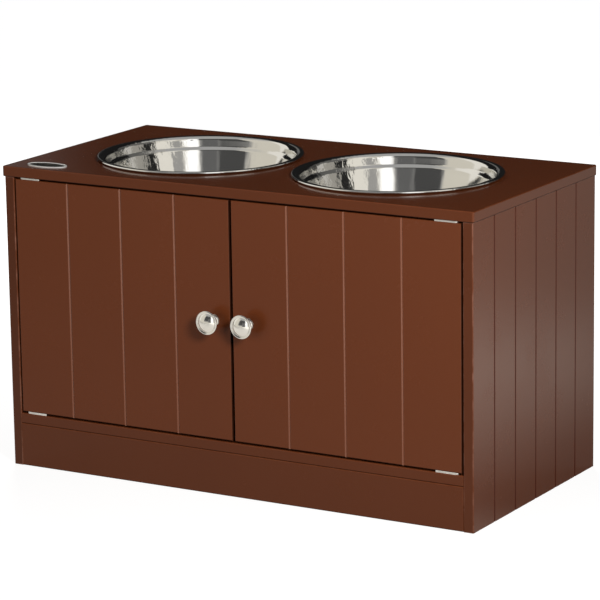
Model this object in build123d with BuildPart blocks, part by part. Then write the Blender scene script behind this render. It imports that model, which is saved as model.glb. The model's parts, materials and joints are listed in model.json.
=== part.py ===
from build123d import *
import os

os.makedirs("parts", exist_ok=True)

# Raised dog feeder: a low painted cabinet whose top board holds two lift-out steel bowls.
# +X is to the right as seen from the front, +Y to the back and +Z up. The origin is on the
# floor, in the middle of the whole footprint, knobs included. All sizes are in millimetres.

# Cabinet boards
top_width = 600.0
top_depth = 300.0
cabinet_height = 350.0
board_thickness = 12.0
top_overhang = 2.0            # top board past the sides and the front
plinth_height = 50.0          # floor to the underside of the bottom panel
edge_rounding = 1.2           # eased, painted edges
corner_rounding = 2.5         # corners of the top board, seen from above

# Thin back panel, housed in grooves
back_thickness = 4.0
back_inset = 8.0              # behind it, to the back edges of the sides
groove_depth = 5.0
groove_play = 0.2
back_floor_gap = 1.0

# V-grooves that divide a panel into upright boards
vee_width = 2.8
vee_depth = 1.4
side_board_count = 6
door_board_count = 4

# Doors, set inside the cabinet's front
door_side_gap = 2.0
door_middle_gap = 3.0

# Pivot hinges: two flat leaves in the gap above and below each door
leaf_length = 28.0
leaf_width = 10.0
leaf_thickness = 1.0
leaf_play = 0.2               # between the two leaves
leaf_inset = 4.0              # door's outer edge to the leaf's round end
leaf_corner = 1.0
leaf_first_screw = 9.0        # pivot to the first screw
leaf_screw_pitch = 9.0
leaf_screw_count = 2
pivot_radius = 2.0
pivot_clearance = 0.05
rivet_head_radius = 3.2
rivet_head_height = 0.8
rivet_play = 0.1
rivet_pocket_play = 0.5

# Fasteners
fit = 0.05                    # radial room round a seated fastener
drill_spare = 0.5             # a blind hole is deeper than what it holds
screw_radius = 1.5
screw_point = 2.0
screw_head_angle = 90.0
hinge_screw_length = 9.0

# Chromed mushroom knobs
knob_inset = 20.5             # door's free edge to the knob's axis
knob_length = 22.0            # door face to crown
knob_base_radius = 6.8
knob_base_height = 1.4
knob_neck_radius = 4.4
knob_cove = 2.0               # height of the cove above the base
knob_cove_radius = 2.6
knob_flare_radius = 13.0      # hollow underside of the head
knob_collar_radius = 6.6
knob_collar_height = 3.4
knob_collar_z = 8.2           # door face to the collar's middle
knob_head_radius = 13.4
knob_head_z = 15.4            # door face to the underside of the head's rim
knob_rim_height = 2.4
knob_rim_width = 1.6
knob_rim_drop = 0.5           # hollow between the rim and the dome
knob_bore_depth = 10.0
knob_screw_radius = 1.95
knob_screw_head_radius = 4.0
knob_screw_head_height = 2.2
knob_screw_rounding = 0.7
knob_screw_reach = 8.0        # into the knob

# Magnetic catch under the top board, with a steel strike on each door
catch_width = 50.0
catch_depth = 13.0
catch_height = 16.0
catch_ear = 10.0
catch_ear_height = 2.5
catch_drop = 10.0             # underside of the top to the magnets' centre line
catch_gap = 0.3               # pole plates to strike
catch_rounding = 1.2
magnet_width = 18.0
magnet_height = 6.0
magnet_depth = 9.0
magnet_offset = 14.0          # cabinet's middle to the middle of each magnet
pole_thickness = 1.2
pole_proud = 0.5
strike_width = 20.0
strike_height = 12.0
strike_thickness = 1.2
strike_rounding = 1.5
strike_screw_length = 8.0
catch_screw_length = 11.0
catch_screw_head = 1.5

# Stainless steel bowls
rim_radius = 118.5
bowl_gap = 20.0               # between the two rims
bowl_gauge = 0.8
bead_radius = 1.6             # rolled edge
bead_overrun = 25.0           # degrees that the roll runs on past its lowest point
bead_lift = 0.3               # roll above the top board
bowl_flange = 7.4             # middle of the roll to where flange and band would meet
bowl_shoulder = 6.5           # rounding between flange and band
bowl_band = 11.7              # flange to the step in the wall
bowl_band_lean = 2.6
bowl_step = 3.2
bowl_step_height = 3.6
bowl_step_rounding = 3.0
bowl_depth = 65.0             # inside, flange to base
bowl_base_radius = 89.0       # where wall and base would meet
bowl_base_rounding = 20.0
bowl_foot_width = 23.0        # flat ring that the bowl stands on; inside it the base is raised
bowl_foot_height = 1.6
bowl_foot_slope = 3.0
bowl_foot_rounding = 2.0
cutout_play = 0.7

# Blank oval badge plate
badge_length = 51.0
badge_width = 26.0
badge_thickness = 1.0
badge_border = 2.0
badge_sink = 0.4
badge_from_side = 45.5        # left edge of the top to the badge's middle
badge_from_front = 24.0

# Knock-down joints: cam locks, their bolts, and dowels
joint_inset = 52.0            # front or back edge to the nearest cam
dowel_step = 32.0             # cam to dowel
cam_setback = 24.0            # joint plane to the cam's centre
cam_radius = 7.4
cam_height = 9.2
cam_face = 2.4
cam_chamber_radius = 5.0
cam_cross_length = 8.0
cam_cross_width = 1.6
cam_cross_depth = 1.4
cam_spare = 0.3               # behind the cam in its pocket
bolt_thread_radius = 2.8
bolt_thread_length = 8.0
bolt_collar_radius = 3.6
bolt_collar_height = 1.5
bolt_neck_radius = 2.2
bolt_head_radius = 3.2
bolt_head_height = 3.0
bolt_bore_play = 0.4
dowel_radius = 3.0
dowel_face_depth = 8.0
dowel_edge_depth = 16.0
kick_dowel_z = 25.0           # middle of the two dowels in each end of the kick board
kick_dowel_pitch = 22.0
kick_dowel_x = 140.0
back_screw_count = 4
back_screw_pitch = 160.0
back_screw_length = 18.0
back_screw_head = 1.8

# Planes and centre lines that the pieces share
side_x = top_width / 2 - top_overhang
inner_x = side_x - board_thickness
side_mid_x = side_x - board_thickness / 2
body_depth = top_depth - top_overhang
front_y = (knob_length - body_depth) / 2
back_y = front_y + body_depth
top_mid_y = back_y - top_depth / 2
front_mid_y = front_y + board_thickness / 2
behind_front_y = front_y + board_thickness
back_panel_y = back_y - back_inset - back_thickness / 2
bottom_depth = back_panel_y - back_thickness / 2 - front_y
under_top_z = cabinet_height - board_thickness
compartment_z = plinth_height + board_thickness
bottom_mid_z = plinth_height + board_thickness / 2

leaf_screw_steps = [leaf_first_screw + i * leaf_screw_pitch for i in range(leaf_screw_count)]
door_gap_z = 2 * leaf_thickness + leaf_play
door_outer_x = inner_x - door_side_gap
door_width = door_outer_x - door_middle_gap / 2
door_mid_x = door_outer_x - door_width / 2
door_bottom_z = compartment_z + door_gap_z
door_top_z = under_top_z - door_gap_z
door_height = door_top_z - door_bottom_z
door_mid_z = door_bottom_z + door_height / 2
pivot_x = door_outer_x - leaf_inset - leaf_width / 2
knob_x = door_middle_gap / 2 + knob_inset

bowl_x = rim_radius + bowl_gap / 2
wall_radius = rim_radius - bead_radius - bowl_flange
cutout_radius = wall_radius + bowl_gauge + cutout_play

magnet_z = under_top_z - catch_drop
catch_front_y = behind_front_y + strike_thickness + catch_gap + pole_proud
catch_mid_y = catch_front_y + catch_depth / 2
catch_screw_x = catch_width / 2 + catch_ear / 2

sides = {"left": -1, "right": 1}


def along(point, direction, distance):
    return tuple(p + d * distance for p, d in zip(point, direction))


def opposite(direction):
    return tuple(-d for d in direction)


def bore(points, direction, radius, depth):
    # blind holes in the piece being built, from points on its face
    for point in points:
        with Locations(Plane(origin=point, z_dir=direction)):
            Cylinder(radius, depth, align=(Align.CENTER, Align.CENTER, Align.MIN), mode=Mode.SUBTRACT)


def place(fastener, points, direction):
    # copies of a fastener, its own z turned to a direction, into the group being built
    for point in points:
        with Locations(Plane(origin=point, z_dir=direction)):
            add(fastener)


def keep(part, name):
    part.label = name
    export_step(part, f"parts/{name}.step")


# Each cam joint is the point where the bolt crosses the joint plane, the way the bolt points,
# and the way the cam is pushed into its board. Each dowel is its point and its way into an edge.
joint_ys = (front_y + joint_inset, back_y - joint_inset)
dowel_ys = (joint_ys[0] + dowel_step, joint_ys[1] - dowel_step)
kick_end_zs = (kick_dowel_z - kick_dowel_pitch / 2, kick_dowel_z + kick_dowel_pitch / 2)
top_joints = {}
bottom_joints = {}
top_dowels = {}
bottom_dowels = {}
kick_end_dowels = {}
for side, sign in sides.items():
    inward = (-sign, 0, 0)
    outward = (sign, 0, 0)
    top_joints[side] = [((sign * side_mid_x, y, under_top_z), (0, 0, -1), outward) for y in joint_ys]
    bottom_joints[side] = [((sign * inner_x, y, bottom_mid_z), inward, (0, 0, 1)) for y in joint_ys]
    top_dowels[side] = [((sign * side_mid_x, y, under_top_z), (0, 0, -1)) for y in dowel_ys]
    bottom_dowels[side] = [((sign * inner_x, y, bottom_mid_z), inward) for y in dowel_ys]
    kick_end_dowels[side] = [((sign * inner_x, front_mid_y, z), inward) for z in kick_end_zs]
kick_top_dowels = [((x, front_mid_y, plinth_height), (0, 0, -1)) for x in (-kick_dowel_x, kick_dowel_x)]


def back_screw_points(y):
    middle = (back_screw_count - 1) / 2
    return [((i - middle) * back_screw_pitch, y, bottom_mid_z) for i in range(back_screw_count)]


def cam_seat(joint):
    point, bolt_way, cam_way = joint
    return along(along(point, bolt_way, cam_setback), cam_way, -board_thickness / 2)


def drill_faces(joints, dowels):
    # the board that a bolt is screwed into, and that the dowels enter through its face
    for point, bolt_way, _ in joints:
        bore([point], opposite(bolt_way), bolt_thread_radius + fit, bolt_thread_length + drill_spare)
    for point, dowel_way in dowels:
        bore([point], opposite(dowel_way), dowel_radius + fit, dowel_face_depth + drill_spare)


def drill_edges(joints, dowels):
    # the board that holds the cams, and that bolts and dowels enter through its edge
    for joint in joints:
        point, bolt_way, cam_way = joint
        bore([point], bolt_way, bolt_collar_radius + bolt_bore_play, cam_setback)
        bore([cam_seat(joint)], cam_way, cam_radius + fit, cam_height + cam_spare)
    for point, dowel_way in dowels:
        bore([point], dowel_way, dowel_radius + fit, dowel_edge_depth + drill_spare)


# Hinges: where the pivots stand, and which way the gap opens from the cabinet's board
hinges = {}
for side, sign in sides.items():
    hinges[f"upper_{side}"] = (side, sign, under_top_z, -1, door_top_z)
    hinges[f"lower_{side}"] = (side, sign, compartment_z, 1, door_bottom_z)


def leaf_plane(sign, z, away):
    # origin on the pivot, x towards the cabinet's middle, z away from the board's face
    return Plane(origin=(sign * pivot_x, front_mid_y, z), x_dir=(-sign, 0, 0), z_dir=(0, 0, away))


def leaf_screw_points(plane):
    pivot = tuple(plane.origin)
    return [along(pivot, tuple(plane.x_dir), step) for step in leaf_screw_steps]


def drill_for_leaf(plane):
    # rivet pocket and screw holes, into the face that the leaf lies on
    into = opposite(tuple(plane.z_dir))
    pivot = tuple(plane.origin)
    screws = leaf_screw_points(plane)
    pocket_depth = rivet_play + rivet_head_height + drill_spare
    bore([pivot], into, rivet_head_radius + rivet_pocket_play, pocket_depth)
    bore(screws, into, screw_radius + fit, hinge_screw_length - leaf_thickness + drill_spare)


# Top board with the two bowl cut-outs, and the back panel's groove underneath
with BuildPart() as top_panel:
    with BuildSketch(Plane.XY.offset(under_top_z)):
        with Locations((0, top_mid_y)):
            RectangleRounded(top_width, top_depth, corner_rounding)
    extrude(amount=board_thickness)
    fillet(top_panel.faces().filter_by(Axis.Z).edges(), edge_rounding)
    with BuildSketch(Plane.XY.offset(under_top_z)):
        with Locations((-bowl_x, top_mid_y), (bowl_x, top_mid_y)):
            Circle(cutout_radius)
    extrude(amount=board_thickness, mode=Mode.SUBTRACT)
    with BuildSketch(Plane.XY.offset(under_top_z)):
        with Locations((0, back_panel_y)):
            Rectangle(2 * (inner_x + groove_depth), back_thickness + 2 * groove_play)
    extrude(amount=groove_depth, mode=Mode.SUBTRACT)
    for side, sign in sides.items():
        drill_faces(top_joints[side], top_dowels[side])
        drill_for_leaf(leaf_plane(sign, under_top_z, -1))
    bore(
        [(-catch_screw_x, catch_mid_y, under_top_z), (catch_screw_x, catch_mid_y, under_top_z)],
        (0, 0, 1),
        screw_radius + fit,
        catch_screw_length - catch_ear_height + drill_spare,
    )
keep(top_panel.part, "top_panel")

# Side panels: one profile in plan, with the V-grooves outside and the back panel's groove inside
for side, sign in sides.items():
    with BuildPart() as side_panel:
        with BuildSketch():
            with Locations((sign * side_mid_x, front_y + body_depth / 2)):
                Rectangle(board_thickness, body_depth)
            front_corners = vertices().group_by(Axis.Y)[0]
            back_corners = vertices().group_by(Axis.Y)[-1]
            fillet(front_corners + back_corners, edge_rounding)
            side_board = body_depth / side_board_count
            for i in range(1, side_board_count):
                vee_y = front_y + i * side_board
                with BuildLine():
                    Polyline(
                        (sign * side_x, vee_y - vee_width / 2),
                        (sign * (side_x - vee_depth), vee_y),
                        (sign * side_x, vee_y + vee_width / 2),
                        close=True,
                    )
                make_face(mode=Mode.SUBTRACT)
            with Locations((sign * (inner_x + groove_depth / 2), back_panel_y)):
                Rectangle(groove_depth, back_thickness + 2 * groove_play, mode=Mode.SUBTRACT)
        extrude(amount=under_top_z)
        drill_edges(top_joints[side], top_dowels[side])
        drill_faces(bottom_joints[side], bottom_dowels[side] + kick_end_dowels[side])
    keep(side_panel.part, f"{side}_side_panel")

# Bottom panel, whose front edge shows under the doors
with BuildPart() as bottom_panel:
    with BuildSketch(Plane.XY.offset(plinth_height)):
        with Locations((0, front_y + bottom_depth / 2)):
            Rectangle(2 * inner_x, bottom_depth)
    extrude(amount=board_thickness)
    fillet(bottom_panel.edges().filter_by(Axis.X).group_by(Axis.Y)[0], edge_rounding)
    drill_faces([], kick_top_dowels)
    for side, sign in sides.items():
        drill_edges(bottom_joints[side], bottom_dowels[side])
        drill_for_leaf(leaf_plane(sign, compartment_z, 1))
    bore(
        back_screw_points(back_panel_y - back_thickness / 2),
        (0, -1, 0),
        screw_radius + fit,
        back_screw_length - back_thickness + drill_spare,
    )
keep(bottom_panel.part, "bottom_panel")

# Kick board, standing on the floor between the sides
with BuildPart() as kick_board:
    with BuildSketch():
        with Locations((0, front_mid_y)):
            Rectangle(2 * inner_x, board_thickness)
    extrude(amount=plinth_height)
    fillet(kick_board.edges().filter_by(Axis.X).group_by(Axis.Y)[0], edge_rounding)
    drill_edges([], kick_top_dowels)
    for side in sides:
        drill_edges([], kick_end_dowels[side])
keep(kick_board.part, "kick_board")

# Back panel, slid down the grooves of the sides and caught in the top board's groove
with BuildPart() as back_panel:
    back_top_z = under_top_z + groove_depth - groove_play
    with BuildSketch(Plane.XY.offset(back_floor_gap)):
        with Locations((0, back_panel_y)):
            Rectangle(2 * (inner_x + groove_depth - groove_play), back_thickness)
    extrude(amount=back_top_z - back_floor_gap)
    back_face = Plane((0, back_panel_y + back_thickness / 2, bottom_mid_z), x_dir=(-1, 0, 0), z_dir=(0, 1, 0))
    with Locations(back_face):
        with GridLocations(back_screw_pitch, 0, back_screw_count, 1):
            CounterSinkHole(
                screw_radius + fit,
                screw_radius + back_screw_head + fit,
                counter_sink_angle=screw_head_angle,
            )
keep(back_panel.part, "back_panel")

# Doors: a board with eased edges, V-grooved in front, with pivot, screw and knob holes
door_board = door_width / door_board_count
for side, sign in sides.items():
    with BuildPart() as door:
        with BuildSketch(Plane.XY.offset(door_bottom_z)):
            with Locations((sign * door_mid_x, front_mid_y)):
                Rectangle(door_width, board_thickness)
        extrude(amount=door_height)
        fillet(door.faces().sort_by(Axis.Y)[0].edges(), edge_rounding)
        fillet(door.faces().sort_by(Axis.Y)[-1].edges(), edge_rounding)
        with BuildSketch(Plane.XY.offset(door_bottom_z)):
            for i in range(1, door_board_count):
                vee_x = sign * (door_outer_x - i * door_board)
                with BuildLine():
                    Polyline(
                        (vee_x - vee_width / 2, front_y),
                        (vee_x, front_y + vee_depth),
                        (vee_x + vee_width / 2, front_y),
                        close=True,
                    )
                make_face()
        extrude(amount=door_height, mode=Mode.SUBTRACT)
        drill_for_leaf(leaf_plane(sign, door_top_z, 1))
        drill_for_leaf(leaf_plane(sign, door_bottom_z, -1))
        bore([(sign * knob_x, front_y, door_mid_z)], (0, 1, 0), knob_screw_radius + fit, board_thickness)
        bore(
            [(sign * magnet_offset, behind_front_y, magnet_z)],
            (0, -1, 0),
            screw_radius + fit,
            strike_screw_length - strike_thickness + drill_spare,
        )
    keep(door.part, f"{side}_door")

# Hinge leaves: round at the pivot, nearly square at the other end, countersunk for their screws
for hinge, (side, sign, cabinet_z, away, door_z) in hinges.items():
    for carrier, face_z, way, hole_radius in (
        ("cabinet", cabinet_z, away, pivot_radius + fit),
        ("door", door_z, -away, pivot_radius + pivot_clearance),
    ):
        with BuildPart() as leaf:
            face = leaf_plane(sign, face_z, way)
            with BuildSketch(face):
                Circle(leaf_width / 2)
                with Locations((leaf_length / 2 - leaf_width / 4, 0)):
                    Rectangle(leaf_length - leaf_width / 2, leaf_width)
                fillet(vertices().group_by(Axis.X)[-1 if sign < 0 else 0], leaf_corner)
            extrude(amount=leaf_thickness)
            with Locations(face.offset(leaf_thickness)):
                Hole(hole_radius)
                with Locations(*[(step, 0) for step in leaf_screw_steps]):
                    CounterSinkHole(
                        screw_radius + fit,
                        screw_radius + leaf_thickness + fit,
                        counter_sink_angle=screw_head_angle,
                    )
        keep(leaf.part, f"{hinge}_{carrier}_leaf")


# Countersunk wood screws, their heads flush at z = 0 and driven along z
def wood_screw(length, head_height):
    with BuildPart() as screw:
        with BuildSketch(Plane.XZ):
            with BuildLine():
                Polyline(
                    (0, 0),
                    (screw_radius + head_height, 0),
                    (screw_radius, head_height),
                    (screw_radius, length - screw_point),
                    (0, length),
                    close=True,
                )
            make_face()
        revolve(axis=Axis.Z)
    return screw.part


hinge_screw = wood_screw(hinge_screw_length, leaf_thickness)
strike_screw = wood_screw(strike_screw_length, strike_thickness)
catch_screw = wood_screw(catch_screw_length, catch_screw_head)
back_screw = wood_screw(back_screw_length, back_screw_head)

with BuildPart() as cabinet_leaf_screws:
    for side, sign, cabinet_z, away, _ in hinges.values():
        exposed = leaf_plane(sign, cabinet_z + away * leaf_thickness, away)
        place(hinge_screw, leaf_screw_points(exposed), (0, 0, -away))
keep(cabinet_leaf_screws.part, "cabinet_leaf_screws")

for side, sign in sides.items():
    with BuildPart() as door_leaf_screws:
        for door_z, away in ((door_top_z, 1), (door_bottom_z, -1)):
            exposed = leaf_plane(sign, door_z + away * leaf_thickness, away)
            place(hinge_screw, leaf_screw_points(exposed), (0, 0, -away))
    keep(door_leaf_screws.part, f"{side}_door_leaf_screws")

# Hinge rivets: staked in the cabinet's leaf, running in the door's leaf, heads in both pockets
with BuildPart() as rivet:
    rivet_far_z = door_gap_z + rivet_play
    with BuildSketch(Plane.XZ):
        with BuildLine():
            Polyline(
                (0, -rivet_head_height),
                (rivet_head_radius, -rivet_head_height),
                (rivet_head_radius, 0),
                (pivot_radius, 0),
                (pivot_radius, rivet_far_z),
                (rivet_head_radius, rivet_far_z),
                (rivet_head_radius, rivet_far_z + rivet_head_height),
                (0, rivet_far_z + rivet_head_height),
                close=True,
            )
        make_face()
    revolve(axis=Axis.Z)

with BuildPart() as hinge_rivets:
    for side, sign, cabinet_z, away, _ in hinges.values():
        place(rivet.part, [(sign * pivot_x, front_mid_y, cabinet_z)], (0, 0, away))
keep(hinge_rivets.part, "hinge_rivets")

# Back panel's screws
with BuildPart() as back_screws:
    place(back_screw, back_screw_points(back_panel_y + back_thickness / 2), (0, -1, 0))
keep(back_screws.part, "back_panel_screws")

# Knobs: turned about an axis that stands out from the door
knob_rim_top = knob_head_z + knob_rim_height
dome_edge = knob_head_radius - knob_rim_height / 2 - knob_rim_width
dome_rise = knob_length - knob_rim_top + knob_rim_drop
dome_radius = (dome_edge**2 + dome_rise**2) / (2 * dome_rise)
for side, sign in sides.items():
    with BuildPart() as knob:
        base = (sign * knob_x, front_y, door_mid_z)
        with BuildSketch(Plane(origin=base, x_dir=(1, 0, 0), z_dir=(0, 0, -1))):
            with BuildLine():
                Polyline((0, 0), (knob_base_radius, 0), (knob_base_radius, knob_base_height))
                cove_top = (knob_neck_radius, knob_base_height + knob_cove)
                RadiusArc((knob_base_radius, knob_base_height), cove_top, knob_cove_radius)
                collar_start = (knob_neck_radius, knob_collar_z - knob_collar_height / 2)
                collar_end = (knob_neck_radius, knob_collar_z + knob_collar_height / 2)
                Line(cove_top, collar_start)
                ThreePointArc(collar_start, (knob_collar_radius, knob_collar_z), collar_end)
                rim_under = (knob_head_radius - knob_rim_height / 2, knob_head_z)
                rim_over = (knob_head_radius - knob_rim_height / 2, knob_rim_top)
                hollow = (dome_edge, knob_rim_top - knob_rim_drop)
                RadiusArc(collar_end, rim_under, knob_flare_radius)
                ThreePointArc(rim_under, (knob_head_radius, knob_head_z + knob_rim_height / 2), rim_over)
                Line(rim_over, hollow)
                RadiusArc(hollow, (0, knob_length), -dome_radius)
                Line((0, knob_length), (0, 0))
            make_face()
        revolve(axis=Axis(base, (0, -1, 0)))
        bore([base], (0, -1, 0), knob_screw_radius + fit, knob_bore_depth)
    keep(knob.part, f"{side}_knob")

# Knob screws, put in from inside the door
for side, sign in sides.items():
    with BuildPart() as knob_screw:
        with Locations(Plane(origin=(sign * knob_x, behind_front_y, door_mid_z), z_dir=(0, 1, 0))):
            Cylinder(
                knob_screw_head_radius,
                knob_screw_head_height,
                align=(Align.CENTER, Align.CENTER, Align.MIN),
            )
            Cylinder(
                knob_screw_radius,
                board_thickness + knob_screw_reach,
                align=(Align.CENTER, Align.CENTER, Align.MAX),
            )
        fillet(knob_screw.edges().sort_by(Axis.Y)[-1], knob_screw_rounding)
    keep(knob_screw.part, f"{side}_knob_screw")

# Magnetic catch
catch_plane = Plane(origin=(0, catch_front_y, magnet_z), x_dir=(1, 0, 0), z_dir=(0, -1, 0))
magnet_points = [(-magnet_offset, 0), (magnet_offset, 0)]
with BuildPart() as catch_housing:
    with BuildSketch(Plane.XY.offset(under_top_z)):
        with Locations((0, catch_mid_y)):
            RectangleRounded(catch_width, catch_depth, catch_rounding)
    extrude(amount=-catch_height)
    fillet(catch_housing.faces().sort_by(Axis.Z)[0].edges(), catch_rounding / 2)
    with BuildSketch(Plane.XY.offset(under_top_z)):
        with Locations((0, catch_mid_y)):
            RectangleRounded(catch_width + 2 * catch_ear, catch_depth, catch_ear / 2)
    extrude(amount=-catch_ear_height)
    with Locations(Plane(origin=(0, catch_mid_y, under_top_z - catch_ear_height), z_dir=(0, 0, -1))):
        with Locations((-catch_screw_x, 0), (catch_screw_x, 0)):
            CounterSinkHole(
                screw_radius + fit,
                screw_radius + catch_screw_head + fit,
                counter_sink_angle=screw_head_angle,
            )
    with BuildSketch(catch_plane):
        with Locations(*magnet_points):
            Rectangle(magnet_width + 2 * fit, magnet_height + 2 * pole_thickness + 2 * fit)
    extrude(amount=-magnet_depth, mode=Mode.SUBTRACT)
keep(catch_housing.part, "catch_housing")

with BuildPart() as catch_magnets:
    with BuildSketch(catch_plane):
        with Locations(*magnet_points):
            Rectangle(magnet_width, magnet_height)
    extrude(amount=-magnet_depth)
keep(catch_magnets.part, "catch_magnets")

with BuildPart() as pole_plates:
    with BuildSketch(catch_plane.offset(pole_proud)):
        with Locations(*magnet_points):
            with GridLocations(0, magnet_height + pole_thickness, 1, 2):
                Rectangle(magnet_width, pole_thickness)
    extrude(amount=-(magnet_depth + pole_proud))
keep(pole_plates.part, "catch_pole_plates")

with BuildPart() as catch_screws:
    ear_z = under_top_z - catch_ear_height
    place(catch_screw, [(-catch_screw_x, catch_mid_y, ear_z), (catch_screw_x, catch_mid_y, ear_z)], (0, 0, 1))
keep(catch_screws.part, "catch_screws")

for side, sign in sides.items():
    with BuildPart() as strike:
        strike_centre = (sign * magnet_offset, behind_front_y, magnet_z)
        strike_plane = Plane(origin=strike_centre, x_dir=(-1, 0, 0), z_dir=(0, 1, 0))
        with BuildSketch(strike_plane):
            RectangleRounded(strike_width, strike_height, strike_rounding)
        extrude(amount=strike_thickness)
        with Locations(strike_plane.offset(strike_thickness)):
            CounterSinkHole(
                screw_radius + fit,
                screw_radius + strike_thickness + fit,
                counter_sink_angle=screw_head_angle,
            )
    keep(strike.part, f"{side}_strike_plate")
    with BuildPart() as strike_fixing:
        place(strike_screw, [along(strike_centre, (0, 1, 0), strike_thickness)], (0, -1, 0))
    keep(strike_fixing.part, f"{side}_strike_screw")

# Bowls: one sheet, turned about its axis. The line is the inside surface, from the end of the
# rolled bead, over the bead and the flange, down the stepped wall and across the base.
bead_z = bead_lift + bead_radius
bead_r = rim_radius - bead_radius
flange_z = bead_z + bead_radius
step_r = wall_radius - bowl_band_lean
step_z = flange_z - bowl_band
base_z = flange_z - bowl_depth
foot_r = bowl_base_radius - bowl_foot_width
for side, sign in sides.items():
    with BuildPart() as bowl:
        seat = (sign * bowl_x, top_mid_y, cabinet_height)
        with BuildSketch(Plane(origin=seat, x_dir=(1, 0, 0), z_dir=(0, -1, 0))):
            with BuildLine():
                CenterArc((bead_r, bead_z), bead_radius, -90 - bead_overrun, 180 + bead_overrun)
                FilletPolyline(
                    (bead_r, flange_z),
                    (wall_radius, flange_z),
                    (step_r, step_z),
                    (step_r - bowl_step, step_z - bowl_step_height),
                    (bowl_base_radius, base_z),
                    (foot_r, base_z),
                    (foot_r - bowl_foot_slope, base_z + bowl_foot_height),
                    (0, base_z + bowl_foot_height),
                    radius=[
                        bowl_shoulder,
                        bowl_step_rounding,
                        bowl_step_rounding,
                        bowl_base_rounding,
                        bowl_foot_rounding,
                        bowl_foot_rounding,
                    ],
                )
                offset(amount=bowl_gauge, side=Side.RIGHT)
            make_face()
        revolve(axis=Axis(seat, (0, 0, 1)))
    keep(bowl.part, f"{side}_bowl")

# Badge plate, blank, with a raised border
with BuildPart() as badge:
    badge_x = badge_from_side - top_width / 2
    badge_y = front_y - top_overhang + badge_from_front
    with BuildSketch(Plane.XY.offset(cabinet_height)):
        with Locations((badge_x, badge_y)):
            Ellipse(badge_length / 2, badge_width / 2)
    extrude(amount=badge_thickness)
    with BuildSketch(Plane.XY.offset(cabinet_height + badge_thickness)):
        with Locations((badge_x, badge_y)):
            Ellipse(badge_length / 2 - badge_border, badge_width / 2 - badge_border)
    extrude(amount=-badge_sink, mode=Mode.SUBTRACT)
keep(badge.part, "badge_plate")

# Cam lock: z runs into the board from its visible face, x towards the joint
with BuildPart() as cam:
    with BuildSketch():
        Circle(cam_radius)
    extrude(amount=cam_height)
    with BuildSketch(Plane.XY.offset(cam_face)):
        Circle(cam_chamber_radius)
        with Locations((cam_radius / 2, 0)):
            Rectangle(cam_radius, 2 * (bolt_neck_radius + bolt_bore_play))
    extrude(amount=cam_height - cam_face, mode=Mode.SUBTRACT)
    with BuildSketch():
        Rectangle(cam_cross_length, cam_cross_width)
        Rectangle(cam_cross_width, cam_cross_length)
    extrude(amount=cam_cross_depth, mode=Mode.SUBTRACT)

# Cam bolt: z runs from the joint plane to the cam
with BuildPart() as cam_bolt:
    head_from = cam_setback - bolt_head_height / 2
    with BuildSketch(Plane.XZ):
        with BuildLine():
            Polyline(
                (0, -bolt_thread_length),
                (bolt_thread_radius, -bolt_thread_length),
                (bolt_thread_radius, 0),
                (bolt_collar_radius, 0),
                (bolt_collar_radius, bolt_collar_height),
                (bolt_neck_radius, bolt_collar_height),
                (bolt_neck_radius, head_from),
                (bolt_head_radius, head_from),
                (bolt_head_radius, head_from + bolt_head_height),
                (0, head_from + bolt_head_height),
                close=True,
            )
        make_face()
    revolve(axis=Axis.Z)

# Dowel: z runs from the joint plane into the edge
with BuildPart() as dowel:
    with Locations((0, 0, -dowel_face_depth)):
        Cylinder(
            dowel_radius,
            dowel_face_depth + dowel_edge_depth,
            align=(Align.CENTER, Align.CENTER, Align.MIN),
        )

all_joints = []
all_dowels = list(kick_top_dowels)
for side in sides:
    all_joints += top_joints[side] + bottom_joints[side]
    all_dowels += top_dowels[side] + bottom_dowels[side] + kick_end_dowels[side]

with BuildPart() as cam_locks:
    for joint in all_joints:
        with Locations(Plane(origin=cam_seat(joint), x_dir=opposite(joint[1]), z_dir=joint[2])):
            add(cam.part)
keep(cam_locks.part, "cam_locks")

with BuildPart() as cam_bolts:
    for point, bolt_way, _ in all_joints:
        place(cam_bolt.part, [point], bolt_way)
keep(cam_bolts.part, "cam_bolts")

with BuildPart() as dowels:
    for point, dowel_way in all_dowels:
        place(dowel.part, [point], dowel_way)
keep(dowels.part, "dowels")
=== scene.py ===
import bpy, bmesh
import json
import math
from mathutils import Matrix, Vector

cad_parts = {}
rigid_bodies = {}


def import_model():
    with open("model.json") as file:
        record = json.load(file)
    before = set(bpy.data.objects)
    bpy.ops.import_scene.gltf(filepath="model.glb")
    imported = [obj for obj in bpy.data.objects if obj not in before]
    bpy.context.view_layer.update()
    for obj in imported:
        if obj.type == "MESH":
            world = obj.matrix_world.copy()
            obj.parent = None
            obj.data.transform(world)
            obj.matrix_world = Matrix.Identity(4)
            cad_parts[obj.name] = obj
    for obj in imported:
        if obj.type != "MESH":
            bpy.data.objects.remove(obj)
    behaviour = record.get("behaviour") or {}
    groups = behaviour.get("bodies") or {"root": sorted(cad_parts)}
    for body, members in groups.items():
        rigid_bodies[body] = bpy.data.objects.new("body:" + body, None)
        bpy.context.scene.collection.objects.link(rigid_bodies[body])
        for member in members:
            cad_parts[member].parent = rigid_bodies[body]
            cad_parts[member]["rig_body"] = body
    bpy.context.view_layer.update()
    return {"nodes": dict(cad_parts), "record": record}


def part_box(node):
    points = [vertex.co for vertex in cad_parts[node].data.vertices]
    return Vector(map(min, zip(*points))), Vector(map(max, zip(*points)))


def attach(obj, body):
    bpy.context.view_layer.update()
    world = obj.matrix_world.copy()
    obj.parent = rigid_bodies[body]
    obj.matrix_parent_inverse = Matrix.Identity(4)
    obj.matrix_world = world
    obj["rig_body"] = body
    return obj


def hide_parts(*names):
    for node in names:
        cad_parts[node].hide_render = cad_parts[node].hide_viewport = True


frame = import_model()
nodes = frame["nodes"]
scene = bpy.context.scene
scene.view_settings.view_transform = "Standard"
print("frame loaded:", len(nodes), "nodes")

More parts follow.
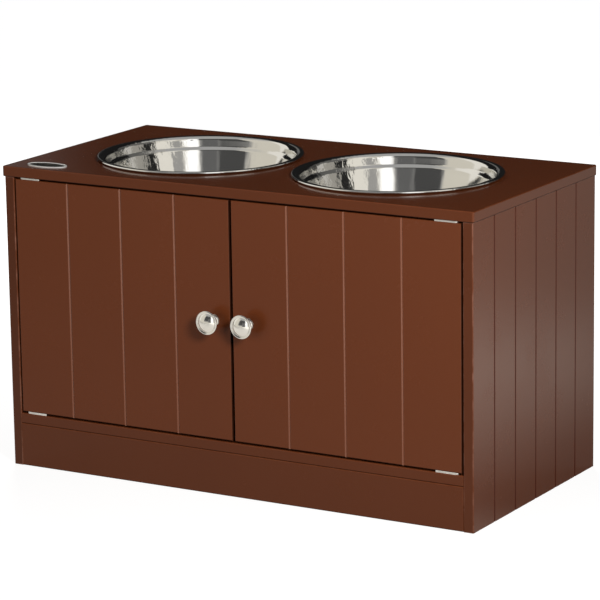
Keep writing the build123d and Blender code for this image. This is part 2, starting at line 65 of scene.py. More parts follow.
cameraLook = {
    "place": (1.831685, -3.096908, 1.022422),
    "turn": 0.5326,     # radians to the right of the middle of the front
    "down": 0.2257,
    "tilt": -0.0147,
    "lens": 195.55,
    "sensor": 36,
    "clip": (0.1, 60),
}


def addCamera(look):
    data = bpy.data.cameras.new("camera")
    data.lens = look["lens"]
    data.sensor_width = look["sensor"]
    data.clip_start, data.clip_end = look["clip"]
    camera = bpy.data.objects.new("camera", data)
    stand = Matrix.Translation(look["place"])
    for angle, axis in ((look["turn"], "Z"), (math.pi / 2 - look["down"], "X"), (look["tilt"], "Z")):
        stand = stand @ Matrix.Rotation(angle, 4, axis)
    camera.matrix_world = stand
    scene.collection.objects.link(camera)
    scene.camera = camera


addCamera(cameraLook)
print("camera placed, lens", cameraLook["lens"])


class Wire:
    # one output socket of a node tree; sums with it add their Math nodes
    def __init__(self, socket):
        self.socket = socket
        self.tree = socket.id_data

    @staticmethod
    def addNode(tree, kind, settings=None, inputs=None, output=0):
        # settings first, then the values or links of the sockets, by name or by number
        node = tree.nodes.new(kind)
        for name, value in (settings or {}).items():
            setattr(node, name, value)
        for name, value in (inputs or {}).items():
            if isinstance(value, Wire):
                tree.links.new(value.socket, node.inputs[name])
            else:
                node.inputs[name].default_value = value
        if isinstance(output, tuple):       # several outputs, as separate wires
            return [Wire(node.outputs[end]) for end in output]
        return Wire(node.outputs[output])

    def __add__(self, other):
        return maths("ADD", self, other)

    def __radd__(self, other):
        return maths("ADD", other, self)

    def __sub__(self, other):
        return maths("SUBTRACT", self, other)

    def __rsub__(self, other):
        return maths("SUBTRACT", other, self)

    def __mul__(self, other):
        return maths("MULTIPLY", self, other)

    def __rmul__(self, other):
        return maths("MULTIPLY", other, self)

    def __truediv__(self, other):
        return maths("DIVIDE", self, other)

    def __rtruediv__(self, other):
        return maths("DIVIDE", other, self)

    def __pow__(self, other):
        return maths("POWER", self, other)

    def __rpow__(self, other):
        return maths("POWER", other, self)

    def __gt__(self, other):
        return maths("GREATER_THAN", self, other)

    def __lt__(self, other):
        # the reflected form of >
        return maths("LESS_THAN", self, other)

    def __abs__(self):
        return maths("ABSOLUTE", self)


def maths(operation, *values):
    tree = next(value.tree for value in values if isinstance(value, Wire))
    return Wire.addNode(tree, "ShaderNodeMath", {"operation": operation}, dict(enumerate(values)))


def largest(first, second):
    return maths("MAXIMUM", first, second)


def smallest(first, second):
    return maths("MINIMUM", first, second)


def middleOf(first, second, third):
    return largest(smallest(first, second), smallest(largest(first, second), third))


def between(share, first, second):
    # first where the share is 0 and second where it is 1
    return share * (second - first) + first


def smoothStep(value, low, high):
    # 0 below low and 1 above high
    settings = {"interpolation_type": "SMOOTHSTEP"}
    inputs = {"Value": value, "From Min": low, "From Max": high}
    return Wire.addNode(value.tree, "ShaderNodeMapRange", settings, inputs)


def mixColour(share, first, second, how="MIX"):
    settings = {"data_type": "RGBA", "blend_type": how}
    first, second = [end if isinstance(end, Wire) else (*end, 1) for end in (first, second)]
    return Wire.addNode(share.tree, "ShaderNodeMix", settings, {0: share, 6: first, 7: second}, 2)


def toned(colour, tone):
    return tuple(channel * tone for channel in colour)


def objectPlace(tree):
    # the place in the part's own frame, which moves with the body
    return Wire.addNode(tree, "ShaderNodeTexCoord", output="Object")


def objectFacing(tree):
    # the way the surface faces, in the same frame
    return Wire.addNode(tree, "ShaderNodeTexCoord", output="Normal")


def parts(vector):
    # x, y and z
    return Wire.addNode(vector.tree, "ShaderNodeSeparateXYZ", {}, {0: vector}, (0, 1, 2))


def join(x, y, z):
    return Wire.addNode(x.tree, "ShaderNodeCombineXYZ", {}, {0: x, 1: y, 2: z})


def noise(place, scale, detail=2.0, roughness=0.5):
    # three scales stretch it along x, y and z
    if isinstance(scale, tuple):
        place = join(*[part * along for part, along in zip(parts(place), scale)])
        scale = 1
    inputs = {"Vector": place, "Scale": scale, "Detail": detail, "Roughness": roughness}
    return Wire.addNode(place.tree, "ShaderNodeTexNoise", {}, inputs)


def weighed(weights, **masks):
    # the masks, each times its weight, on top of the base where there is one
    return sum((mask * weights[name] for name, mask in masks.items()), weights.get("base", 0))


def bump(height, strength, distance, under=None):
    inputs = {"Height": height, "Strength": strength, "Distance": distance}
    if under:
        inputs["Normal"] = under
    return Wire.addNode(height.tree, "ShaderNodeBump", {}, inputs)


def newFinish(name, fixed=None):
    # a material with one Principled shader; what is the same all over goes on its own sockets
    material = bpy.data.materials.new(name)
    material.use_nodes = True
    shader = material.node_tree.nodes["Principled BSDF"]
    for socket, value in (fixed or {}).items():
        shader.inputs[socket].default_value = value
    return material, material.node_tree, shader


def vary(shader, wires):
    for socket, wire in wires.items():
        wire.tree.links.new(wire.socket, shader.inputs[socket])


def wear(node, material):
    piece = nodes[node]
    piece.data.materials.clear()
    piece.data.materials.append(material)


# In every finish a noise is its scale, detail and roughness, a bump its strength and its depth
# in metres, and what ends in From says where a mask begins and where it is full.
lacquer = {
    "colour": (0.108, 0.0272, 0.0086),
    "cloudTones": (0.93, 1.07),
    "clouds": {"cloud": 0.7, "speckle": 0.3},
    "edgeWearAndHighlightColour": (0.128, 0.036, 0.0135),       # lighter on the eased edges: partly thinner lacquer, partly a painted highlight
    "cornerHighlightColour": (0.24, 0.11, 0.075),        # and lighter still on those of the sides: a painted highlight
    "grooveShadeColour": (0.052, 0.0105, 0.0042),    # painted shade: dark in the grooves of the sides
    "grooveHighlightColour": (0.150, 0.042, 0.0155),        # a painted highlight on the slopes of the doors' grooves
    "underShadeColour": (0.022, 0.0065, 0.003),      # painted shade on the faces that face down, which are also rough
    "endShadeColour": (0.030, 0.0085, 0.0035),       # painted shade on the doors' ends, in the gaps
    "frontTone": {      # tone of the faces to the front and back
        "top_panel": 0.84,
        # the left side panel's lower tone is painted shade from the left door on its front edge
        "left_side_panel": 0.64,
        "right_side_panel": 0.73,
        "bottom_panel": 0.84,
        "kick_board": 0.84,
    },
    "edgeWearAndHighlightShare": 0.7,
    "underShadeShare": 0.85,
    "specular": 0.17,
    "rough": {"base": 0.22, "handled": 0.05, "speckle": 0.04, "edge": 0.08, "under": 0.65},
    "topRubbed": 0.11,          # the top board is rubbed smoother
    "runWeight": (0.8, 1.0),
    "runRough": 0.2,
    "runIndex": 1.5,
    "edgeReach": 0.0016,        # metres from a board's edge
    "slopeFrom": (0.30, 0.45),  # x times y of the facing, highest on a groove's slopes
    "frontFrom": (0.90, 0.98),  # y of the facing
    "endShadeFrom": (0.50, 0.80),    # x of the facing
    "underFrom": (0.05, 0.30),  # how far it faces down
    "stileFrom": (0.012, 0.016),    # metres behind a side's front edge
    "middleFrom": (0.003, 0.006),   # metres in from a door's ends
    "thinFrom": (0.35, 0.75),
    "handledFrom": (0.42, 0.72),
    "cloudNoise": (7, 3),
    "thinNoise": (70, 3),
    "handledNoise": (16, 4, 0.62),
    "speckleNoise": (900, 2),
    "peelNoises": ((260, 1), (75, 2)),
    "height": {"finePeel": 0.7, "broadPeel": 0.6, "speckle": 0.12},
    "bump": (0.10, 0.0006),
}


def edgeNearness(place, low, high, reach):
    # 1 on the edges of a board's box and 0 from reach inwards
    inset = []
    for value, least, most in zip(parts(place), low, high):
        inset.append(smallest(value - least, most - value))
    return 1 - smoothStep(middleOf(*inset), reach * 0.25, reach)


def lacquerFinish(node, look):
    material, tree, shader = newFinish(node + "Lacquer", {
        "Specular IOR Level": look["specular"],
        "Coat Roughness": look["runRough"],
        "Coat IOR": look["runIndex"],
    })
    place = objectPlace(tree)
    faceX, faceY, faceZ = parts(objectFacing(tree))
    low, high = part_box(node)
    cloud = noise(place, *look["cloudNoise"])
    speckle = noise(place, *look["speckleNoise"])
    darker, lighter = [toned(look["colour"], tone) for tone in look["cloudTones"]]
    colour = mixColour(weighed(look["clouds"], cloud=cloud, speckle=speckle), darker, lighter)
    thin = smoothStep(noise(place, *look["thinNoise"]), *look["thinFrom"])
    edge = edgeNearness(place, low, high, look["edgeReach"]) * thin
    edgeWearAndHighlightColour = look["edgeWearAndHighlightColour"]
    if node in look["frontTone"]:
        front = smoothStep(abs(faceY), *look["frontFrom"])
        colour = mixColour(front, colour, (look["frontTone"][node],) * 3, "MULTIPLY")
    if "door" in node:
        # more lacquer has pooled in the V-grooves and dried glossier; their slopes are also painted
        # lighter, a painted highlight
        x = parts(place)[0]
        middle = smoothStep(smallest(x - low[0], high[0] - x), *look["middleFrom"])
        runAndHighlight = smoothStep(abs(faceX * faceY), *look["slopeFrom"]) * middle
        vary(shader, {"Coat Weight": runAndHighlight * between(speckle, *look["runWeight"])})
        colour = mixColour(runAndHighlight, colour, look["grooveHighlightColour"])
        # the doors' ends are painted dark, a painted shade in the gaps, and lose the edges' lighter
        # colour
        end = smoothStep(abs(faceX), *look["endShadeFrom"]) * (1 - middle)
        colour = mixColour(end, colour, look["endShadeColour"])
        edge = edge * (1 - end)
    if "side" in node:
        # on the sides the eased edges take a lighter colour still, a painted highlight
        edgeWearAndHighlightColour = look["cornerHighlightColour"]
        # the slopes of the sides' grooves are painted dark: painted shade in the grooves
        behind = smoothStep(parts(place)[1] - low[1], *look["stileFrom"])
        grooveShade = smoothStep(abs(faceX * faceY), *look["slopeFrom"]) * behind
        colour = mixColour(grooveShade, colour, look["grooveShadeColour"])
        edge = edge * (1 - grooveShade)
    # the eased edges are lighter, partly thinner lacquer and partly a painted highlight
    colour = mixColour(edge * look["edgeWearAndHighlightShare"], colour, edgeWearAndHighlightColour)
    # faces that face down are rougher, and painted dark: a painted shade
    under = smoothStep(faceZ * -1, *look["underFrom"])
    handled = smoothStep(noise(place, *look["handledNoise"]), *look["handledFrom"])
    rough = weighed(look["rough"], handled=handled, speckle=speckle, edge=edge, under=under)
    if node == "top_panel":
        rough = rough - look["topRubbed"]
    finePeel, broadPeel = [noise(place, *peel) for peel in look["peelNoises"]]
    height = weighed(look["height"], finePeel=finePeel, broadPeel=broadPeel, speckle=speckle)
    vary(shader, {
        "Base Color": mixColour(under * look["underShadeShare"], colour, look["underShadeColour"]),
        "Roughness": rough,
        "Normal": bump(height, *look["bump"]),
    })
    return material


for node in (*lacquer["frontTone"], "left_door", "right_door"):
    wear(node, lacquerFinish(node, lacquer))

backBoard = {
    "colour": (0.105, 0.033, 0.014),
    "fibreColour": (0.135, 0.058, 0.030),
    "shown": {"fibre": 0.5, "cloud": 0.12},
    "specular": 0.25,
    "rough": {"base": 0.52, "cloud": 0.1, "fibre": 0.12},
    "fibreNoise": ((420, 420, 92.4), 3, 0.6),
    "fibreFrom": (0.52, 0.86),
    "cloudNoise": (11, 3),
    "screenWaves": 1700,        # radians for each metre
    "height": {"fibre": 0.6, "screen": 0.25},
    "bump": (0.25, 0.0004),
}


def backBoardFinish(look):
    # thin fibre board, printed brown, with the faint mark of a press screen
    material, tree, shader = newFinish("backBoardPrint", {"Specular IOR Level": look["specular"]})
    place = objectPlace(tree)
    fibre = noise(place, *look["fibreNoise"])
    cloud = noise(place, *look["cloudNoise"])
    shown = weighed(look["shown"], fibre=smoothStep(fibre, *look["fibreFrom"]), cloud=cloud)
    x, _, z = parts(place)
    screen = maths("SINE", x * look["screenWaves"]) * maths("SINE", z * look["screenWaves"])
    height = weighed(look["height"], fibre=fibre, screen=screen)
    vary(shader, {
        "Base Color": mixColour(shown, look["colour"], look["fibreColour"]),
        "Roughness": weighed(look["rough"], cloud=cloud, fibre=fibre),
        "Normal": bump(height, *look["bump"]),
    })
    return material


wear("back_panel", backBoardFinish(backBoard))
print("boards finished")

bowlMetal = {
    "colour": (0.735, 0.725, 0.70),
    "stainTone": 0.96,
    "stainFrom": (0.35, 0.75),
    "rough": {"base": 0.045, "rings": 0.05, "stain": 0.02},
    "middle": (0.1285, 0.010),      # of the right bowl; the left one mirrors it
    # the tool's rings: scale across and up, scale round, the right bowl's shift, detail, roughness
    "ringNoise": (5200, 2.5, 9, 3, 0.7),
    "deepNoise": (900, 1.2, 5, 2, 0.5),
    "turned": {"rings": 0.5, "deep": 0.6},
    "turnedBump": (0.22, 0.00002),
    # slow unevenness of the pressed wall: scales round, across and up, then as above
    "rippleNoise": (9, 24, 26, 7, 2, 0.45),
    "swayNoise": (3, 10, 9, 3, 1, 0.5),
    "dentNoise": (12, 70, 80, 4, 3, 0.55),
    "stainNoise": (2, 30, 40, 0, 4, 0.6),
    "ripple": (1.1, 0.9),           # of the left and the right bowl
    "height": {"sway": 1.6, "line": 0.06, "dents": 3.2, "oval": 26},
    "bump": (0.22, 0.0009),
    "lineHeight": 0.3235,           # a turning line low in the wall
    "lineFall": -2.6e6,
    "dentFrom": (0.055, 0.100),     # dents are thickest at the two ends of each bowl
    "ovalFrom": (-0.62, 0.0),       # the left bowl is out of round; radians from its back
}


def bowlFinish(look):
    material, tree, shader = newFinish("polishedSteel", {"Metallic": 1.0})
    x, y, z = parts(objectPlace(tree))
    across = abs(x) - look["middle"][0]
    along = y - look["middle"][1]
    radius = (across * across + along * along) ** 0.5
    turn = maths("ARCTAN2", across, along)
    right = x > 0

    def ringNoise(name):
        over, around, shift, detail, roughness = look[name]
        place = join(radius * over, z * over, turn * around + right * shift)
        return noise(place, 1, detail, roughness)

    def wallNoise(name):
        around, over, up, shift, detail, roughness = look[name]
        place = join(turn * around + right * shift, radius * over, z * up)
        return noise(place, 1, detail, roughness)

    rings = ringNoise("ringNoise")
    turned = weighed(look["turned"], rings=rings, deep=ringNoise("deepNoise"))
    turned = bump(turned, *look["turnedBump"])
    stain = smoothStep(wallNoise("stainNoise"), *look["stainFrom"])
    rise = z - look["lineHeight"]
    uneven = weighed(
        look["height"],
        sway=wallNoise("swayNoise"),
        line=math.e ** (rise * rise * look["lineFall"]),
        dents=wallNoise("dentNoise") * smoothStep(abs(across), *look["dentFrom"]),
        oval=smoothStep(turn, *look["ovalFrom"]) * (1 - right),
    )
    uneven = uneven + wallNoise("rippleNoise") * between(right, *look["ripple"])
    vary(shader, {
        "Base Color": mixColour(stain, toned(look["colour"], look["stainTone"]), look["colour"]),
        "Roughness": weighed(look["rough"], rings=rings, stain=stain),
        "Normal": bump(uneven, *look["bump"], turned),
    })
    return material


steel = bowlFinish(bowlMetal)
for node in ("left_bowl", "right_bowl"):
    wear(node, steel)
print("bowls finished")

chrome = {
    "colour": (0.785, 0.775, 0.74),
    "hazeTone": 0.93,
    "hazeNoise": (120, 4, 0.6),
    "hazeFrom": (0.35, 0.80),
    "hairNoise": ((2600, 300, 2600), 2),
    "rough": {"base": 0.10, "haze": 0.06, "hair": 0.04},
    "bump": (0.05, 0.00003),
}


def chromeFinish(look):
    material, tree, shader = newFinish("chromedKnob", {"Metallic": 1.0})
    place = objectPlace(tree)
    haze = smoothStep(noise(place, *look["hazeNoise"]), *look["hazeFrom"])
    hair = noise(place, *look["hairNoise"])
    vary(shader, {
        "Base Color": mixColour(haze, look["colour"], toned(look["colour"], look["hazeTone"])),
        "Roughness": weighed(look["rough"], haze=haze, hair=hair),
        "Normal": bump(hair, *look["bump"]),
    })
    return material


# hinges and screws, and the cast cams; both with the same plating
zinc = {"colour": (0.77, 0.755, 0.73), "rough": 0.26}
castZinc = {"colour": (0.43, 0.43, 0.42), "rough": 0.42}
plating = {
    "dullTone": 0.8,
    "dullNoise": (150, 3),
    "dullFrom": (0.4, 0.7),
    "spangleNoise": (520, 3, 0.6),
    "drawnNoise": ((240, 2600, 2600), 2),
    "dulled": {"dull": 0.6, "spangle": 0.3},
    "rough": {"dull": 0.10, "spangle": 0.08},
    "height": {"spangle": 0.5, "drawn": 0.5},
    "bump": (0.2, 0.00008),
}


def platedFinish(name, metal, look):
    material, tree, shader = newFinish(name, {"Metallic": 1.0})
    place = objectPlace(tree)
    spangle = noise(place, *look["spangleNoise"])
    drawn = noise(place, *look["drawnNoise"])
    dull = smoothStep(noise(place, *look["dullNoise"]), *look["dullFrom"])
    dulled = weighed(look["dulled"], dull=dull, spangle=spangle)
    height = weighed(look["height"], spangle=spangle, drawn=drawn)
    vary(shader, {
        "Base Color": mixColour(dulled, metal["colour"], toned(metal["colour"], look["dullTone"])),
        "Roughness": weighed(look["rough"], dull=dull, spangle=spangle) + metal["rough"],
        "Normal": bump(height, *look["bump"]),
    })
    return material


badgeMetal = {
    "colour": (0.86, 0.85, 0.82),
    "fieldColour": (0.045, 0.043, 0.038),
    "fieldFrom": (0.97, 1.03),
    "border": 0.0030,       # metres
    "fleckTone": 6,
    "fleckNoise": ((900, 405, 900), 2),
    "fleckFrom": (0.50, 0.62),
    "metal": (0.45, 1.0),   # of the border and the field
    "blastedNoise": (2600, 2),
    "brushedNoise": ((160, 5200, 100), 2),
    "rough": {"base": 0.30, "field": 0.22, "blasted": 0.1},
    "height": {"blasted": 1.2, "brushed": 0.3},
    "bump": (0.25, 0.00006),
}


def badgeFinish(look):
    # a bright border round a dark blasted field
    material, tree, shader = newFinish("badgeMetal")
    place = objectPlace(tree)
    spans = []
    for value, least, most in zip(parts(place)[:2], *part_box("badge_plate")):
        spans.append((value - (least + most) / 2) / ((most - least) / 2 - look["border"]))
    across, along = spans
    field = 1 - smoothStep(across * across + along * along, *look["fieldFrom"])
    blasted = noise(place, *look["blastedNoise"])
    brushed = noise(place, *look["brushedNoise"])
    fleck = smoothStep(noise(place, *look["fleckNoise"]), *look["fleckFrom"])
    dark = mixColour(fleck, look["fieldColour"], toned(look["fieldColour"], look["fleckTone"]))
    height = weighed(look["height"], blasted=blasted * field, brushed=brushed)
    vary(shader, {
        "Base Color": mixColour(field, look["colour"], dark),
        "Roughness": weighed(look["rough"], field=field, blasted=blasted),
        "Metallic": between(field, *look["metal"]),
        "Normal": bump(height, *look["bump"]),
    })
    return material


beech = {
    "dark": (0.52, 0.34, 0.19),
    "pale": (0.67, 0.48, 0.30),
    "fleckColour": (0.36, 0.20, 0.10),
    "fleckShare": 0.5,
    "fleckNoise": ((500, 1500, 500), 2),
    "fleckFrom": (0.62, 0.74),
    "fibreNoise": ((300, 2400, 300), 3),
    "specular": 0.3,
    "rough": {"base": 0.5, "fibre": 0.15},
    "bump": (0.3, 0.0001),
}


def beechFinish(look):
    material, tree, shader = newFinish("beech", {"Specular IOR Level": look["specular"]})
    place = objectPlace(tree)
    fibre = noise(place, *look["fibreNoise"])
    fleck = smoothStep(noise(place, *look["fleckNoise"]), *look["fleckFrom"])
    wood = mixColour(fibre, look["dark"], look["pale"])
    vary(shader, {
        "Base Color": mixColour(fleck * look["fleckShare"], wood, look["fleckColour"]),
        "Roughness": weighed(look["rough"], fibre=fibre),
        "Normal": bump(fibre, *look["bump"]),
    })
    return material


catchPlastic = {
    "dark": (0.030, 0.017, 0.012),
    "pale": (0.046, 0.026, 0.018),
    "textureNoise": (1500, 2),
    "flowNoise": (45, 2),
    "specular": 0.45,
    "rough": {"base": 0.36, "texture": 0.12, "flow": 0.05},
    "bump": (0.2, 0.00008),
}


def mouldedFinish(look):
    material, tree, shader = newFinish("mouldedCatch", {"Specular IOR Level": look["specular"]})
    place = objectPlace(tree)
    texture = noise(place, *look["textureNoise"])
    flow = noise(place, *look["flowNoise"])
    vary(shader, {
        "Base Color": mixColour(flow, look["dark"], look["pale"]),
        "Roughness": weighed(look["rough"], texture=texture, flow=flow),
        "Normal": bump(texture, *look["bump"]),
    })
    return material


ferrite = {
    "dark": (0.012, 0.012, 0.013),
    "pale": (0.055, 0.053, 0.052),
    "crystalNoise": (2400, 4, 0.7),
    "specular": 0.5,
    "rough": {"base": 0.4, "crystal": 0.3},
    "bump": (0.4, 0.0001),
}


def ferriteFinish(look):
    material, tree, shader = newFinish("ferrite", {"Specular IOR Level": look["specular"]})
    crystal = noise(objectPlace(tree), *look["crystalNoise"])
    vary(shader, {
        "Base Color": mixColour(crystal, look["dark"], look["pale"]),
        "Roughness": weighed(look["rough"], crystal=crystal),
        "Normal": bump(crystal, *look["bump"]),
    })
    return material


slotFinish = {
    "chromed_metal": chromeFinish(chrome),
    "zinc_plated_steel": platedFinish("zincPlatedSteel", zinc, plating),
    "cast_zinc": platedFinish("castZinc", castZinc, plating),
    "badge_metal": badgeFinish(badgeMetal),
    "beech_dowel": beechFinish(beech),
    "catch_plastic": mouldedFinish(catchPlastic),
    "ferrite_magnet": ferriteFinish(ferrite),
}
for sub in frame["record"]["subparts"]:
    if sub["material_slot"] in slotFinish:
        wear(sub["node"], slotFinish[sub["material_slot"]])
print("finishes:", len(bpy.data.materials))

recess = {
    "reach": 0.56,      # reach, width and depth go with the head's radius
    "slotWidth": 0.17,
    "depth": 0.42,
    "taper": 0.55,
    "proud": 0.0003,    # the cutter stands out of the head, so that it cuts clean through
    "headBand": 0.0011,     # metres from a screw's end in which its head is looked for
    "turnBy": (4000, 50),   # so that no two crosses stand alike
    "weld": 1e-7,
    "crease": math.radians(32),
}


def islandsOf(builder):
    # groups of vertices that hang together, one for each screw
    builder.verts.ensure_lookup_table()
    left = set(range(len(builder.verts)))
    groups = []
    while left:
        found = [left.pop()]
        for index in found:
            for edge in builder.verts[index].link_edges:
                other = edge.other_vert(builder.verts[index]).index
                if other in left:
                    left.discard(other)
                    found.append(other)
        groups.append([builder.verts[i].co.copy() for i in sorted(found)])
    return groups


def headOf(points, look):
    # the middle of a screw's head face, the way it faces and its radius
    low = Vector([min(p[i] for p in points) for i in range(3)])
    high = Vector([max(p[i] for p in points) for i in range(3)])
    middle = (low + high) / 2
    long = max(range(3), key=lambda i: high[i] - low[i])
    best = None
    for sign, end in ((-1, low[long]), (1, high[long])):
        near = [p for p in points if abs(p[long] - end) < look["headBand"]]
        radius = max(math.hypot(*[p[i] - middle[i] for i in range(3) if i != long]) for p in near)
        if best is None or radius > best[2]:
            centre = middle.copy()
            centre[long] = end
            out = Vector([sign if i == long else 0 for i in range(3)])
            best = (centre, out, radius)
    return best


def addCross(builder, centre, out, radius, look):
    bySize, byPlace = look["turnBy"]
    turn = Matrix.Rotation(radius * bySize + centre.x * byPlace, 3, "Z")
    turned = out.to_track_quat("Z", "Y").to_matrix() @ turn
    reach = radius * look["reach"]
    half = radius * look["slotWidth"]
    outline = []
    for quarter in range(4):
        spin = Matrix.Rotation(quarter * math.pi / 2, 3, "Z")
        for corner in ((half, -half), (reach, -half), (reach, half)):
            outline.append(spin @ Vector((*corner, 0)))
    rings = []
    for scale, rise in ((1.0, look["proud"]), (look["taper"], -radius * look["depth"])):
        lifted = [centre + turned @ (p * scale + Vector((0, 0, rise))) for p in outline]
        rings.append([builder.verts.new(p) for p in lifted])
    top, bottom = rings
    builder.faces.new(top)
    builder.faces.new(list(reversed(bottom)))
    for i in range(len(outline)):
        builder.faces.new((top[i - 1], bottom[i - 1], bottom[i], top[i]))


def addObject(name, data):
    piece = bpy.data.objects.new(name, data)
    scene.collection.objects.link(piece)
    return piece


def cutCrosses(node, look):
    source = nodes[node]
    welded = source.data.copy()
    builder = bmesh.new()
    builder.from_mesh(welded)
    bmesh.ops.remove_doubles(builder, verts=builder.verts, dist=look["weld"])
    builder.to_mesh(welded)
    heads = [headOf(points, look) for points in islandsOf(builder)]
    builder.free()
    builder = bmesh.new()
    for centre, out, radius in heads:
        addCross(builder, centre, out, radius, look)
    bmesh.ops.recalc_face_normals(builder, faces=builder.faces)
    mesh = bpy.data.meshes.new("crossCutter")
    builder.to_mesh(mesh)
    builder.free()
    cutter = addObject("crossCutter", mesh)
    rough = addObject("uncutScrews", welded)
    cut = rough.modifiers.new("cut", "BOOLEAN")
    cut.object = cutter
    cut.solver = "EXACT"
    bpy.context.view_layer.update()
    graph = bpy.context.evaluated_depsgraph_get()
    made = bpy.data.meshes.new_from_object(rough.evaluated_get(graph))
    for extra in (rough, cutter):
        bpy.data.objects.remove(extra)
    keptNormals = made.attributes.get("custom_normal")
    if keptNormals:
        made.attributes.remove(keptNormals)
    made.polygons.foreach_set("use_smooth", [True] * len(made.polygons))
    made.set_sharp_from_angle(angle=look["crease"])
    made.materials.clear()
    made.materials.append(source.data.materials[0])
    piece = addObject(node + "_crossed", made)
    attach(piece, source["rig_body"])
    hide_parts(node)
    return len(heads)


screwNodes = sorted(node for node in nodes if "screw" in node)
print("crossed heads:", {node: cutCrosses(node, recess) for node in screwNodes})


def rayKinds(tree):
    # 1 for what the camera sees, and 1 for what is seen in or through something
    kinds = ("Is Camera Ray", "Is Glossy Ray", "Is Transmission Ray")
    camera, glossy, through = Wire.addNode(tree, "ShaderNodeLightPath", output=kinds)
    return camera, largest(glossy, through)


# Pairs of levels run from close by to far off, and ranges are metres from the cabinet's middle.
floorLook = {
    "colour": (0.25, 0.247, 0.24),
    "rough": 0.9,
    "size": 9,
    "cameraGlow": (0.84, 0.98),     # shows to the camera only
    "cameraFrom": (0.5, 1.3),
    "frontGlow": (0.67, 0.46),      # the rest shows in reflections only: before the doors
    "frontFrom": (0.3, 0.9),
    "beforeFrom": (0.0, 0.15),
    "rightRise": 0.75,              # brighter to the right
    "rightFrom": (0.2, 1.1),
    "farRise": 0.28,                # up to the level of the room
    "farFrom": (1.5, 2.8),
    "sideGlow": (0.12, 2.12),       # a lit patch to the right of the cabinet
    "sideFrom": (0.31, 0.70),
    "sideFade": 0.80,               # less of it further back
    "sideFadeFrom": (0.42, 1.02),
    "sideRise": 0.3,
    "sideRiseFrom": (0.78, 0.98),
    "tint": (1, 0.95, 0.86),
}


def addFloor(look):
    mesh = bpy.data.meshes.new("floor")
    builder = bmesh.new()
    bmesh.ops.create_grid(builder, x_segments=8, y_segments=8, size=look["size"])
    builder.to_mesh(mesh)
    builder.free()
    floor = addObject("floor", mesh)
    material, tree, shader = newFinish("floorFinish", {
        "Base Color": (*look["colour"], 1),
        "Roughness": look["rough"],
        "Specular IOR Level": 0.0,
        "Emission Strength": 1,
    })
    camera, mirrored = rayKinds(tree)
    x, y, _ = parts(objectPlace(tree))
    forward = y * -1
    away = smoothStep((x * x + y * y) ** 0.5, *look["cameraFrom"])
    patch = smoothStep(x, *look["sideFrom"])
    patch = patch * (1 - smoothStep(y, *look["sideFadeFrom"]) * look["sideFade"])
    patch = patch * (smoothStep(x, *look["sideRiseFrom"]) * look["sideRise"] + 1)
    beside = between(patch, *look["sideGlow"])
    ahead = between(smoothStep(forward, *look["frontFrom"]), *look["frontGlow"])
    ahead = ahead + smoothStep(x, *look["rightFrom"]) * look["rightRise"]
    ahead = ahead + smoothStep(forward, *look["farFrom"]) * look["farRise"]
    reflected = between(smoothStep(forward, *look["beforeFrom"]), beside, ahead)
    glow = camera * between(away, *look["cameraGlow"]) + mirrored * reflected
    tint = mixColour(mirrored, (1, 1, 1), look["tint"])
    shone = Wire.addNode(tree, "ShaderNodeVectorMath", {"operation": "SCALE"}, {0: tint, "Scale": glow})
    vary(shader, {"Emission Color": shone})
    material.cycles.emission_sampling = "NONE"
    mesh.materials.append(material)


addFloor(floorLook)

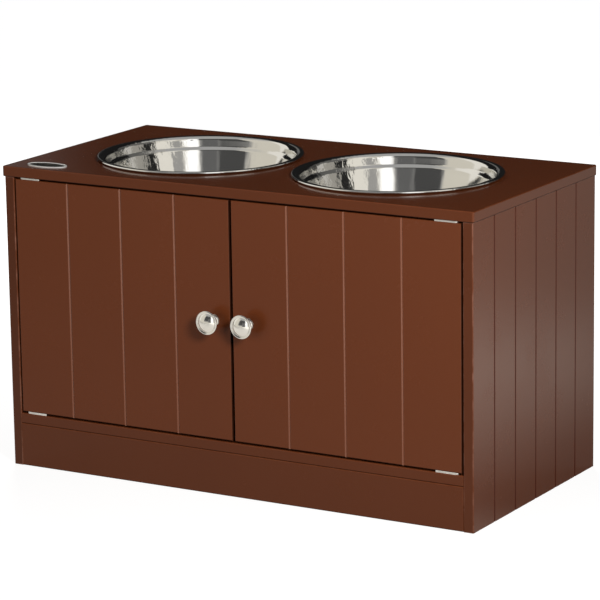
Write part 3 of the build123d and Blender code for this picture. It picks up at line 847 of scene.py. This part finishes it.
# What polished metal sees of the studio: azimuth from and to, height from and to, softness,
# level and warmth, laid over each other in this order. Azimuth 0 is the front and 90 the right.
room = [
    (-104, 156, -20, 90, 4, 0.78, 1.0),
    (-104, -74, -20, 50, 6, 0.98, 0.6),
    (140, 156, -20, 30, 3, 0.06, 0.5),
    (128, 140, -20, 24, 4, 0.62, 0.5),
    (110, 129, -20, 60, 5, 0.40, 0.8),
    (93, 110, 2, 32, 4, 0.025, 0.3),
    (104, 158, 27, 52, 5, 0.14, 0.3),
    (70, 93, -20, 60, 5, 0.98, 0.7),
    (56, 70, -20, 36, 5, 0.42, 0.3),
    (34, 54, -20, 90, 6, 1.50, 0.0),
    (8, 33, -20, 34, 9, 0.15, 0.0),
    (-32, 9, 8, 40, 9, 0.08, 0.0),
    (-32, 36, 30, 56, 5, 0.07, 0.0),
    (-145, -136, 3, 26, 2, 0.15, 0.2),
    (-180, 180, 56, 90, 8, 0.45, 0.0),
]
worldLook = {
    "light": 0.08,                  # falls on everything
    "unlit": 0.012,                 # the room where no panel stands
    "warmColour": (1.0, 0.95, 0.83),
}


def addWorld(look):
    world = bpy.data.worlds.new("studio")
    scene.world = world
    world.use_nodes = True
    world.cycles.sampling_method = "NONE"
    tree = world.node_tree
    background = tree.nodes["Background"]
    camera, mirrored = rayKinds(tree)
    x, y, z = parts(Wire.addNode(tree, "ShaderNodeTexCoord", output="Generated"))
    azimuth = maths("ARCTAN2", x, y * -1) * math.degrees(1)
    height = maths("ARCSINE", z) * math.degrees(1)
    level = look["unlit"]
    warmth = 0.0
    for left, right, low, high, soft, panelLevel, panelWarmth in room:
        mask = smoothStep(height, low - soft, low + soft)
        mask = mask * (1 - smoothStep(height, high - soft, high + soft))
        if right - left < 360:
            half = (right - left) / 2
            aside = abs(azimuth - (left + right) / 2)
            mask = mask * (1 - smoothStep(aside, half - soft / 2, half + soft / 2))
        level = between(mask, level, panelLevel)
        warmth = between(mask, warmth, panelWarmth)
    light = (1 - largest(camera, mirrored)) * look["light"]
    vary(background, {
        "Strength": largest(camera, mirrored * level) + light,
        "Color": mixColour(mirrored * warmth, (1, 1, 1), look["warmColour"]),
    })


addWorld(worldLook)
print("floor and room:", len(room), "panels")

# place, size and power of each
lamps = {
    "keyLamp": ((1.13, -1.02, 0.88), (0.35, 0.35), 25.5),
    "fillLamp": ((-0.42, -1.20, 0.36), (0.9, 0.5), 5.2),
    "backLamp": ((-1.00, 1.50, 0.85), (0.9, 0.6), 34),
}
lampAim = Vector((0, 0, 0.2))


def addLamp(name, place, size, power):
    data = bpy.data.lights.new(name, "AREA")
    data.shape = "RECTANGLE"
    data.size, data.size_y = size
    data.energy = power
    lamp = addObject(name, data)
    lamp.location = place
    lamp.rotation_euler = (lampAim - Vector(place)).to_track_quat("-Z", "Y").to_euler()
    lamp.visible_glossy = False


for name, lamp in lamps.items():
    addLamp(name, *lamp)
print("lamps:", len(lamps))
